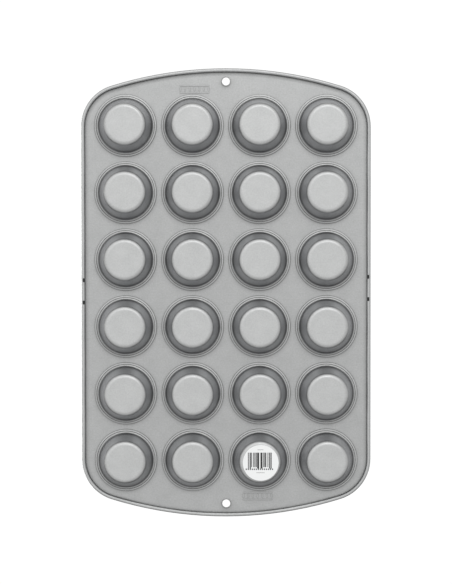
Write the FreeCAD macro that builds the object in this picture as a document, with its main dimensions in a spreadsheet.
import FreeCAD, Part
import math
import os

import Sketcher
from FreeCAD import Vector

# A mini muffin tin: separately drawn cups, each crimped into a hole of one deck sheet, whose edge
# is rolled down and under round a steel wire. Millimetres. +Z is up and the cups open upwards.
# The origin is on the surface that the tin stands on, under the middle of the deck.

SIZES = {
    "tin_width": 258.0,  # over the rolled edge, along X
    "tin_length": 400.0,  # over the rolled edge, along Y
    "end_radius": 345.0,  # the bowed short ends, at their outer edge
    "corner_radius": 38.0,  # the deck's corners, at their outer edge
    "deck_sheet": 0.5,
    "bead_size": 3.4,  # outside diameter of the rolled edge
    "bead_turn": 290.0,  # degrees that the edge is rolled through
    "bead_tab": 1.0,  # flat strip that ties the roll into the deck
    "wire_size": 2.3,
    "wire_joint": 0.6,  # gap between the wire's two ends
    "drain_length": 3.4,  # slots through the underside of the roll
    "drain_width": 1.7,
    "drain_depth": 1.4,
    "drain_inset": 2.15,  # slot's middle, in from the outer edge
    "drain_spread": 19.9,  # between the two slots of a pair
    "drain_right": 1.6,  # middle of the pair on the +X side
    "drain_left": 4.45,  # middle of the pair on the -X side
    "hang_radius": 3.45,
    "hang_inset": 11.65,  # hanging hole's centre, in from the end
    "lip_drop": 0.9,  # how far the hole's lip stands below the deck
    "lip_bend": 0.6,  # radius at the lip's root
    "lip_tie": 1.0,  # flat ring that ties the lip into the deck
    "mark_along": 28.0,  # stamped mark's middle from the tin's middle, along X
    "mark_out": 181.7,  # and along Y
    "mark_width": 26.0,
    "mark_height": 7.0,
    "mark_stroke": 0.9,
    "mark_relief": 0.3,
    "cup_pitch": 59.7,
    "cup_depth": 20.0,  # cup's outer bottom to the deck's underside
    "cup_sheet": 0.45,
    "floor_radius": 15.0,  # the flat of the cup's bottom
    "floor_bend": 4.0,  # outside radius between bottom and wall
    "wall_draft": 17.7,  # degrees from upright
    "neck_bend": 2.3,  # outside radius between wall and pleat
    "pleat_radius": 27.6,  # the fold that bears on the deck from below
    "crimp_groove": 25.85,  # radius of the line that the crimping tool leaves
    "groove_width": 0.5,
    "groove_depth": 0.25,
    "hole_radius": 25.0,  # the deck's holes
    "hole_gap": 0.05,
    "flange_radius": 27.0,  # the lip folded out over the deck
    "label_size": 31.75,
    "label_sheet": 0.1,
    "label_shift": 0.5,  # how far off its cup's middle the label is stuck, each way
}
COLUMNS = 4  # cups across, along X
ROWS = 6  # cups along Y
LABEL_CUP = (1, 2)  # row and column of the cup with the label
MARK_BARS = 7
CLOSE = 1e-4  # ends nearer than this are the same corner

# Formulas that several sketches share.
EDGE_ACROSS = "Sizes.tin_width / 2 - Sizes.bead_size / 2"  # the rolled edge's middle line, in X
EDGE_ALONG = "Sizes.tin_length / 2 - Sizes.bead_size / 2"  # and in Y
END_RADIUS = "Sizes.end_radius - Sizes.bead_size / 2"
CORNER_RADIUS = "Sizes.corner_radius - Sizes.bead_size / 2"
END_BOW = "Sizes.end_radius - Sizes.tin_length / 2"  # a bowed end's centre, past the tin's middle
DECK_HEIGHT = "Sizes.label_sheet + Sizes.cup_depth"  # the deck's underside over the origin
HANG_ALONG = "(Sizes.tin_length / 2 - Sizes.hang_inset)"
NECK_RADIUS = "Sizes.hole_radius - Sizes.hole_gap"
FOLD_RADIUS = "Sizes.pleat_radius - Sizes.cup_sheet"

doc = FreeCAD.newDocument("MuffinTin")
sheet = doc.addObject("Spreadsheet::Sheet", "Sizes")
for number, (name, value) in enumerate(SIZES.items(), start=1):
    sheet.set(f"A{number}", name)
    sheet.set(f"B{number}", str(value))
    sheet.setAlias(f"B{number}", name)
doc.recompute()


def size(formula):
    """The value, in millimetres, degrees or plain numbers, of a formula in the sheet's sizes."""
    answer = sheet.evalExpression(formula)
    return float(getattr(answer, "Value", answer))


def origin_part(body, role):
    """One of the body's own origin planes or axes."""
    return [feature for feature in body.Origin.OriginFeatures if feature.Role == role][0]


def attach(body, name, plane, lift="0"):
    """A sketch on one of the body's origin planes, lifted along the plane's normal by a formula."""
    sketch = body.newObject("Sketcher::SketchObject", name)
    sketch.AttachmentSupport = [(origin_part(body, plane), "")]
    sketch.MapMode = "FlatFace"
    sketch.setExpression("AttachmentOffset.Base.z", lift)
    return sketch


def line(sketch, start, end):
    return sketch.addGeometry(Part.LineSegment(Vector(*start, 0), Vector(*end, 0)))


def arc(sketch, centre, radius, first, last):
    """An arc that runs anticlockwise between two angles in degrees."""
    circle = Part.Circle(Vector(*centre, 0), Vector(0, 0, 1), radius)
    return sketch.addGeometry(Part.ArcOfCircle(circle, math.radians(first), math.radians(last)))


def polar(centre, radius, angle):
    turned = math.radians(angle)
    return (centre[0] + radius * math.cos(turned), centre[1] + radius * math.sin(turned))


def constrain(sketch, kind, *where):
    sketch.addConstraint(Sketcher.Constraint(kind, *where))


def dimension(sketch, formula, kind, *where):
    """A driving dimension that follows a formula in the sheet's sizes."""
    value = size(formula)
    bound = formula
    if kind == "Angle":
        value = math.radians(value)
        bound = f"({formula}) * 1 deg"
    number = sketch.addConstraint(Sketcher.Constraint(kind, *where, value))
    sketch.setExpression(f"Constraints[{number}]", bound)


def join(sketch, kind, first, second):
    """Joins two pieces of an outline where their ends meet: Coincident, or Tangent if smooth."""
    for one in (1, 2):
        for other in (1, 2):
            gap = sketch.getPoint(first, one) - sketch.getPoint(second, other)
            if gap.Length < CLOSE:
                constrain(sketch, kind, first, one, second, other)
                return
    raise RuntimeError(f"{sketch.Name}: pieces {first} and {second} do not meet")


def join_round(sketch, pieces, smooth):
    """Joins the pieces into a closed outline; smooth holds those that run smoothly into the next."""
    for place, piece in enumerate(pieces):
        following = pieces[(place + 1) % len(pieces)]
        join(sketch, "Tangent" if piece in smooth else "Coincident", piece, following)


def rectangle(sketch, left, low, wide, tall):
    """An upright rectangle whose low left corner, width and height are formulas."""
    x, y, w, t = (size(formula) for formula in (left, low, wide, tall))
    corners = [(x, y), (x + w, y), (x + w, y + t), (x, y + t)]
    sides = [line(sketch, corners[side], corners[(side + 1) % 4]) for side in range(4)]
    join_round(sketch, sides, smooth=())
    for side in sides:
        constrain(sketch, "Horizontal" if side in (sides[0], sides[2]) else "Vertical", side)
    dimension(sketch, left, "DistanceX", -1, 1, sides[0], 1)
    dimension(sketch, low, "DistanceY", -1, 1, sides[0], 1)
    dimension(sketch, wide, "DistanceX", sides[0], 1, sides[0], 2)
    dimension(sketch, tall, "DistanceY", sides[1], 1, sides[1], 2)


def revolve(body, name, sketch):
    feature = body.newObject("PartDesign::Revolution", name)
    feature.Profile = sketch
    feature.ReferenceAxis = (sketch, ["V_Axis"])
    feature.Angle = 360
    return feature


def pad(body, name, sketch, length, downward=False):
    feature = body.newObject("PartDesign::Pad", name)
    feature.Profile = sketch
    feature.Reversed = downward
    feature.setExpression("Length", length)
    return feature


def pocket(body, name, sketch, length, upward=False):
    feature = body.newObject("PartDesign::Pocket", name)
    feature.Profile = sketch
    feature.Reversed = upward
    feature.setExpression("Length", length)
    return feature


def sweep(body, name, profile, path):
    feature = body.newObject("PartDesign::AdditivePipe", name)
    feature.Profile = profile
    feature.Spine = path
    return feature


def edge_path(body, name):
    """The middle line of the rolled edge: two straight sides, two bowed ends and four corners."""
    sketch = attach(body, name, "XY_Plane")
    across = size(EDGE_ACROSS)
    along = size(EDGE_ALONG)
    end_radius = size(END_RADIUS)
    corner = size(CORNER_RADIUS)
    end_centre = along - end_radius
    corner_y = end_centre + math.sqrt((end_radius - corner) ** 2 - (across - corner) ** 2)
    tilt = math.degrees(math.atan2(corner_y - end_centre, across - corner))

    right_low = line(sketch, (across, -corner_y), (across, 0))
    right_high = line(sketch, (across, 0), (across, corner_y))
    corner_a = arc(sketch, (across - corner, corner_y), corner, 0, tilt)
    far_right = arc(sketch, (0, end_centre), end_radius, tilt, 90)
    far_left = arc(sketch, (0, end_centre), end_radius, 90, 180 - tilt)
    corner_b = arc(sketch, (corner - across, corner_y), corner, 180 - tilt, 180)
    left = line(sketch, (-across, corner_y), (-across, -corner_y))
    corner_c = arc(sketch, (corner - across, -corner_y), corner, 180, 180 + tilt)
    near_left = arc(sketch, (0, -end_centre), end_radius, 180 + tilt, 270)
    near_right = arc(sketch, (0, -end_centre), end_radius, 270, 360 - tilt)
    corner_d = arc(sketch, (across - corner, -corner_y), corner, 360 - tilt, 360)
    right_side = [right_low, right_high, corner_a, far_right, far_left, corner_b]
    left_side = [left, corner_c, near_left, near_right, corner_d]
    split = (right_low, far_right, near_left)
    pieces = right_side + left_side
    join_round(sketch, pieces, smooth=[piece for piece in pieces if piece not in split])
    constrain(sketch, "PointOnObject", right_low, 2, -1)
    for side in (right_low, right_high, left):
        constrain(sketch, "Vertical", side)
    for end, rest in ((far_right, far_left), (near_left, near_right)):
        constrain(sketch, "Coincident", end, 3, rest, 3)
        constrain(sketch, "PointOnObject", end, 3, -2)
        constrain(sketch, "PointOnObject", end, 2, -2)
    for other in (corner_b, corner_c, corner_d):
        constrain(sketch, "Equal", corner_a, other)
    constrain(sketch, "Equal", far_right, near_left)
    dimension(sketch, EDGE_ACROSS, "DistanceX", -1, 1, right_low, 2)
    dimension(sketch, EDGE_ACROSS, "DistanceX", left, 1, -1, 1)
    dimension(sketch, END_RADIUS, "Radius", far_right)
    dimension(sketch, CORNER_RADIUS, "Radius", corner_a)
    dimension(sketch, END_BOW, "DistanceY", far_right, 3, -1, 1)
    dimension(sketch, END_BOW, "DistanceY", -1, 1, near_left, 3)
    return sketch


def roll_section(body):
    """The rolled edge cut across: the sheet goes out over the wire, round it and back under."""
    sketch = attach(body, "RollSection", "XZ_Plane")
    outer = size("Sizes.bead_size / 2")
    inner = size("Sizes.bead_size / 2 - Sizes.deck_sheet")
    across = size(EDGE_ACROSS)
    top = size("Sizes.deck_sheet")
    tab = size("Sizes.bead_tab")
    centre = (across, top - outer)
    first = 90 - size("Sizes.bead_turn")
    outside = arc(sketch, centre, outer, first, 90)
    tab_top = line(sketch, (across, top), (across - tab, top))
    tab_end = line(sketch, (across - tab, top), (across - tab, 0))
    tab_low = line(sketch, (across - tab, 0), (across, 0))
    inside = arc(sketch, centre, inner, first, 90)
    cut_edge = line(sketch, polar(centre, inner, first), polar(centre, outer, first))
    pieces = [outside, tab_top, tab_end, tab_low, inside, cut_edge]
    join_round(sketch, pieces, smooth=(outside, tab_low))
    constrain(sketch, "Coincident", outside, 3, inside, 3)
    constrain(sketch, "Horizontal", tab_top)
    constrain(sketch, "Horizontal", tab_low)
    constrain(sketch, "Vertical", tab_end)
    constrain(sketch, "PointOnObject", tab_low, 1, -1)
    constrain(sketch, "PointOnObject", outside, 3, cut_edge)
    dimension(sketch, EDGE_ACROSS, "DistanceX", -1, 1, outside, 3)
    dimension(sketch, "Sizes.bead_size / 2", "Radius", outside)
    dimension(sketch, "Sizes.deck_sheet", "DistanceY", tab_end, 2, tab_end, 1)
    dimension(sketch, "Sizes.bead_tab", "DistanceX", tab_top, 2, tab_top, 1)
    dimension(sketch, "Sizes.bead_turn - 270", "Angle", -1, 2, cut_edge, 1)
    return sketch


def lip_section(body, name, lift):
    """A hanging hole's drawn lip, cut across: a short collar that turns smoothly into the deck."""
    sketch = attach(body, name, "XZ_Plane", lift)
    hole = size("Sizes.hang_radius")
    deck = size("Sizes.deck_sheet")
    bend = size("Sizes.lip_bend")
    tie = size("Sizes.lip_tie")
    drop = -size("Sizes.lip_drop")
    root = hole + deck + bend
    rim = line(sketch, (hole, drop), (hole + deck, drop))
    outer = line(sketch, (hole + deck, drop), (hole + deck, -bend))
    outer_bend = arc(sketch, (root, -bend), bend, 90, 180)
    deck_low = line(sketch, (root, 0), (root + tie, 0))
    deck_end = line(sketch, (root + tie, 0), (root + tie, deck))
    deck_top = line(sketch, (root + tie, deck), (hole + bend, deck))
    inner_bend = arc(sketch, (hole + bend, deck - bend), bend, 90, 180)
    inner = line(sketch, (hole, deck - bend), (hole, drop))
    pieces = [rim, outer, outer_bend, deck_low, deck_end, deck_top, inner_bend, inner]
    join_round(sketch, pieces, smooth=(outer, outer_bend, deck_top, inner_bend))
    for level in (rim, deck_low, deck_top):
        constrain(sketch, "Horizontal", level)
    for upright in (outer, deck_end, inner):
        constrain(sketch, "Vertical", upright)
    constrain(sketch, "PointOnObject", deck_low, 1, -1)
    constrain(sketch, "Equal", outer_bend, inner_bend)
    dimension(sketch, "Sizes.hang_radius", "DistanceX", -1, 1, rim, 1)
    dimension(sketch, "Sizes.deck_sheet", "DistanceX", rim, 1, rim, 2)
    dimension(sketch, "Sizes.lip_drop", "DistanceY", rim, 1, -1, 1)
    dimension(sketch, "Sizes.lip_bend", "Radius", outer_bend)
    dimension(sketch, "Sizes.lip_tie", "DistanceX", deck_low, 1, deck_low, 2)
    dimension(sketch, "Sizes.deck_sheet", "DistanceY", deck_end, 1, deck_end, 2)
    return sketch


def mark_sketch(body, name, lift):
    """The stamped marks beside the hanging holes: a row of bars between two rules."""
    sketch = attach(body, name, "XY_Plane", lift)
    stroke = "Sizes.mark_stroke"
    for side in ("1", "-1"):
        left = f"{side} * Sizes.mark_along - Sizes.mark_width / 2"
        middle = f"{side} * Sizes.mark_out"
        rectangle(sketch, left, f"{middle} - Sizes.mark_height / 2", "Sizes.mark_width", stroke)
        high = f"{middle} + Sizes.mark_height / 2 - {stroke}"
        rectangle(sketch, left, high, "Sizes.mark_width", stroke)
        for bar in range(MARK_BARS):
            start = f"{left} + {bar} * (Sizes.mark_width - {stroke}) / {MARK_BARS - 1}"
            low = f"{middle} - Sizes.mark_height / 2 + 2 * {stroke}"
            rectangle(sketch, start, low, stroke, f"Sizes.mark_height - 4 * {stroke}")
    return sketch


def cup_holes(body):
    """The grid of holes that the cups hang in: one pocket, repeated across and along the deck."""
    sketch = attach(body, "HoleCircle", "XY_Plane")
    corner_x = f"{COLUMNS - 1} * Sizes.cup_pitch / 2"
    corner_y = f"{ROWS - 1} * Sizes.cup_pitch / 2"
    centre = Vector(-size(corner_x), -size(corner_y), 0)
    circle = sketch.addGeometry(Part.Circle(centre, Vector(0, 0, 1), size("Sizes.hole_radius")))
    dimension(sketch, "Sizes.hole_radius", "Radius", circle)
    dimension(sketch, corner_x, "DistanceX", circle, 3, -1, 1)
    dimension(sketch, corner_y, "DistanceY", circle, 3, -1, 1)
    first = pocket(body, "FirstHole", sketch, "Sizes.deck_sheet", upward=True)
    across = body.newObject("PartDesign::LinearPattern", "HolesAcross")
    across.Direction = (origin_part(body, "X_Axis"), [""])
    across.Occurrences = COLUMNS
    across.setExpression("Length", f"{COLUMNS - 1} * Sizes.cup_pitch")
    along = body.newObject("PartDesign::LinearPattern", "HolesAlong")
    along.Direction = (origin_part(body, "Y_Axis"), [""])
    along.Occurrences = ROWS
    along.setExpression("Length", f"{ROWS - 1} * Sizes.cup_pitch")
    grid = body.newObject("PartDesign::MultiTransform", "CupHoles")
    grid.Originals = [first]
    grid.Transformations = [across, along]
    body.Tip = grid


def drain_slots(body):
    """Two slots in each long side, through the underside of the roll, where the wire shows."""
    lowest = "Sizes.deck_sheet - Sizes.bead_size"
    sketch = attach(body, "DrainOutline", "XY_Plane", lowest)
    half = "Sizes.drain_spread / 2"
    inset = "(Sizes.tin_width / 2 - Sizes.drain_inset)"
    for side, middle in (("1", "Sizes.drain_right"), ("-1", "Sizes.drain_left")):
        for end in ("+", "-"):
            left = f"{side} * {inset} - Sizes.drain_width / 2"
            low = f"{middle} {end} {half} - Sizes.drain_length / 2"
            rectangle(sketch, left, low, "Sizes.drain_width", "Sizes.drain_length")
    pocket(body, "DrainSlots", sketch, "Sizes.drain_depth", upward=True)


def make_deck():
    """The deck: a flat sheet with a rolled edge, cup holes, hanging holes and stamped marks."""
    body = doc.addObject("PartDesign::Body", "Deck")
    body.Label = "deck"
    path = edge_path(body, "EdgePath")
    pad(body, "Plate", path, "Sizes.deck_sheet")
    sweep(body, "RolledEdge", roll_section(body), path)
    holes = attach(body, "HangCircles", "XY_Plane")
    for side in (1, -1):
        centre = Vector(0, side * size(HANG_ALONG), 0)
        radius = "Sizes.hang_radius + Sizes.deck_sheet + Sizes.lip_bend"
        circle = holes.addGeometry(Part.Circle(centre, Vector(0, 0, 1), size(radius)))
        constrain(holes, "PointOnObject", circle, 3, -2)
        dimension(holes, radius, "Radius", circle)
        dimension(holes, f"{side} * {HANG_ALONG}", "DistanceY", -1, 1, circle, 3)
    pocket(body, "HangHoles", holes, "Sizes.deck_sheet", upward=True)
    revolve(body, "FarLip", lip_section(body, "FarLipSection", f"-1 * {HANG_ALONG}"))
    revolve(body, "NearLip", lip_section(body, "NearLipSection", HANG_ALONG))
    pad(body, "MarkRaised", mark_sketch(body, "MarkBelow", "0"), "Sizes.mark_relief", downward=True)
    above = mark_sketch(body, "MarkAbove", "Sizes.deck_sheet")
    pocket(body, "MarkSunk", above, "Sizes.mark_relief")
    drain_slots(body)
    cup_holes(body)
    body.setExpression("Placement.Base.z", DECK_HEIGHT)
    return body


def make_wire():
    """The wire that the deck's edge is rolled round: one loop with its ends butted in a side."""
    body = doc.addObject("PartDesign::Body", "RimWire")
    body.Label = "rim_wire"
    path = edge_path(body, "WirePath")
    section = attach(body, "WireSection", "XZ_Plane")
    drop = "Sizes.bead_size / 2 - Sizes.deck_sheet"
    centre = Vector(size(EDGE_ACROSS), -size(drop), 0)
    circle = section.addGeometry(Part.Circle(centre, Vector(0, 0, 1), size("Sizes.wire_size / 2")))
    dimension(section, "Sizes.wire_size / 2", "Radius", circle)
    dimension(section, EDGE_ACROSS, "DistanceX", -1, 1, circle, 3)
    dimension(section, drop, "DistanceY", circle, 3, -1, 1)
    sweep(body, "WireLoop", section, path)
    gap = attach(body, "JointGap", "XY_Plane", "-1 * Sizes.bead_size")
    left = "-1 * Sizes.wire_joint / 2"
    low = "-1 * Sizes.tin_length / 2"
    rectangle(gap, left, low, "Sizes.wire_joint", "2 * Sizes.bead_size")
    pocket(body, "WireJoint", gap, "2 * Sizes.bead_size", upward=True)
    body.setExpression("Placement.Base.z", DECK_HEIGHT)
    return body


def cup_section(body):
    """Half of a cup cut through its axis, one sheet thick.

    From the middle of the bottom the outside goes up the wall, turns out under the deck, folds
    back in on itself as a pleat, goes up through the deck's hole and out over it as a flange.
    """
    sketch = attach(body, "CupSection", "XZ_Plane")
    thick = size("Sizes.cup_sheet")
    depth = size("Sizes.cup_depth")
    deck = size("Sizes.deck_sheet")
    floor = size("Sizes.floor_radius")
    low_bend = size("Sizes.floor_bend")
    high_bend = size("Sizes.neck_bend")
    draft = size("Sizes.wall_draft")
    neck = size(NECK_RADIUS)
    flange = size("Sizes.flange_radius")
    fold = size(FOLD_RADIUS)
    groove = size("Sizes.crimp_groove")
    half_groove = size("Sizes.groove_width / 2")
    cut = size("Sizes.groove_depth")

    slope = math.radians(draft)
    under = depth - 2 * thick
    low_centre = (floor, low_bend)
    rise = under - high_bend - low_bend + low_bend * math.sin(slope)
    run = (high_bend + rise * math.sin(slope)) / math.cos(slope)
    high_centre = (floor + low_bend * math.cos(slope) + run, under - high_bend)
    seam_low = high_centre[1] + math.sqrt((high_bend + thick) ** 2 - (high_centre[0] - neck) ** 2)
    seam_angle = math.degrees(math.atan2(seam_low - high_centre[1], neck - high_centre[0]))

    floor_out = line(sketch, (0, 0), (floor, 0))
    corner_out = arc(sketch, low_centre, low_bend, -90, -draft)
    wall_out = line(
        sketch, polar(low_centre, low_bend, -draft), polar(high_centre, high_bend, 180 - draft)
    )
    bend_out = arc(sketch, high_centre, high_bend, 90, 180 - draft)
    under_in = line(sketch, (high_centre[0], under), (groove - half_groove, under))
    groove_in = line(sketch, (groove - half_groove, under), (groove, under + cut))
    groove_out = line(sketch, (groove, under + cut), (groove + half_groove, under))
    under_out = line(sketch, (groove + half_groove, under), (fold, under))
    pleat = arc(sketch, (fold, depth - thick), thick, -90, 90)
    pleat_top = line(sketch, (fold, depth), (neck, depth))
    neck_out = line(sketch, (neck, depth), (neck, depth + deck))
    flange_low = line(sketch, (neck, depth + deck), (flange, depth + deck))
    flange_edge = line(sketch, (flange, depth + deck), (flange, depth + deck + thick))
    flange_top = line(sketch, (flange, depth + deck + thick), (neck, depth + deck + thick))
    nose = arc(sketch, (neck, depth + deck), thick, 90, 180)
    neck_in = line(sketch, (neck - thick, depth + deck), (neck - thick, depth))
    seam_bend = arc(sketch, (neck, depth), thick, 180, 270)
    seam = line(sketch, (neck, depth - thick), (neck, seam_low))
    bend_in = arc(sketch, high_centre, high_bend + thick, seam_angle, 180 - draft)
    wall_in = line(
        sketch,
        polar(high_centre, high_bend + thick, 180 - draft),
        polar(low_centre, low_bend - thick, -draft),
    )
    corner_in = arc(sketch, low_centre, low_bend - thick, -90, -draft)
    floor_in = line(sketch, (floor, thick), (0, thick))
    middle = line(sketch, (0, thick), (0, 0))

    lower = [floor_out, corner_out, wall_out, bend_out, under_in, groove_in, groove_out, under_out]
    upper = [pleat, pleat_top, neck_out, flange_low, flange_edge, flange_top, nose, neck_in]
    inside = [seam_bend, seam, bend_in, wall_in, corner_in, floor_in, middle]
    smooth = lower[:4] + [under_out, pleat, flange_top, nose, neck_in] + inside[2:5]
    join_round(sketch, lower + upper + inside, smooth)

    for level in (floor_out, under_in, under_out, pleat_top, flange_low, flange_top, floor_in):
        constrain(sketch, "Horizontal", level)
    for upright in (neck_out, flange_edge, neck_in, seam, middle):
        constrain(sketch, "Vertical", upright)
    constrain(sketch, "Coincident", floor_out, 1, -1, 1)
    constrain(sketch, "Coincident", corner_in, 3, corner_out, 3)
    constrain(sketch, "Coincident", bend_in, 3, bend_out, 3)
    constrain(sketch, "Coincident", nose, 3, neck_out, 2)
    constrain(sketch, "Coincident", seam_bend, 3, neck_out, 1)
    constrain(sketch, "Vertical", seam, 1, neck_out, 1)
    constrain(sketch, "Horizontal", under_in, 2, under_out, 1)

    dimension(sketch, "Sizes.floor_radius", "DistanceX", -1, 1, floor_out, 2)
    dimension(sketch, "Sizes.floor_bend", "Radius", corner_out)
    dimension(sketch, "Sizes.floor_bend - Sizes.cup_sheet", "Radius", corner_in)
    dimension(sketch, "90 - Sizes.wall_draft", "Angle", wall_out)
    dimension(sketch, "Sizes.neck_bend", "Radius", bend_out)
    dimension(sketch, "Sizes.neck_bend + Sizes.cup_sheet", "Radius", bend_in)
    dimension(sketch, "Sizes.cup_depth", "DistanceY", -1, 1, pleat_top, 1)
    dimension(sketch, "Sizes.cup_sheet", "Radius", pleat)
    dimension(sketch, "Sizes.cup_sheet", "Radius", nose)
    dimension(sketch, FOLD_RADIUS, "DistanceX", -1, 1, pleat, 3)
    dimension(sketch, NECK_RADIUS, "DistanceX", -1, 1, neck_out, 1)
    dimension(sketch, "Sizes.deck_sheet", "DistanceY", neck_out, 1, neck_out, 2)
    dimension(sketch, "Sizes.flange_radius", "DistanceX", -1, 1, flange_edge, 1)
    dimension(sketch, "Sizes.crimp_groove", "DistanceX", -1, 1, groove_in, 2)
    dimension(sketch, "Sizes.groove_width / 2", "DistanceX", groove_in, 1, groove_in, 2)
    dimension(sketch, "Sizes.groove_width / 2", "DistanceX", groove_out, 1, groove_out, 2)
    dimension(sketch, "Sizes.groove_depth", "DistanceY", groove_in, 1, groove_in, 2)
    return sketch


def make_cup(row, column):
    """One drawn cup, hung in its hole; rows and columns count from the tin's near left corner."""
    body = doc.addObject("PartDesign::Body", f"Cup{row}{column}")
    body.Label = f"cup_{row}_{column}"
    revolve(body, f"CupShell{row}{column}", cup_section(body))
    steps_x = column - (COLUMNS + 1) / 2
    steps_y = row - (ROWS + 1) / 2
    body.setExpression("Placement.Base.x", f"{steps_x} * Sizes.cup_pitch")
    body.setExpression("Placement.Base.y", f"{steps_y} * Sizes.cup_pitch")
    body.setExpression("Placement.Base.z", "Sizes.label_sheet")
    return body


def make_label():
    """The round paper label stuck under one cup."""
    label = doc.addObject("Part::Cylinder", "BarcodeLabel")
    label.Label = "barcode_label"
    label.setExpression("Radius", "Sizes.label_size / 2")
    label.setExpression("Height", "Sizes.label_sheet")
    steps_x = LABEL_CUP[1] - (COLUMNS + 1) / 2
    steps_y = LABEL_CUP[0] - (ROWS + 1) / 2
    label.setExpression("Placement.Base.x", f"{steps_x} * Sizes.cup_pitch - Sizes.label_shift")
    label.setExpression("Placement.Base.y", f"{steps_y} * Sizes.cup_pitch - Sizes.label_shift")
    return label


cups = [make_cup(row, column) for row in range(1, ROWS + 1) for column in range(1, COLUMNS + 1)]
pieces = [make_deck(), make_wire(), *cups, make_label()]
doc.recompute()

for item in doc.Objects:
    if "Invalid" in item.State or "Error" in item.State:
        raise RuntimeError(f"{item.Name} failed: {item.State}")

os.makedirs("parts", exist_ok=True)
for piece in pieces:
    if piece.Shape.isNull() or not piece.Shape.isValid() or len(piece.Shape.Solids) != 1:
        raise RuntimeError(f"{piece.Label} is not one sound solid")
    piece.Shape.exportStep(f"parts/{piece.Label}.step")
    print(f"{piece.Label}: {piece.Shape.Volume:.1f} cubic mm")
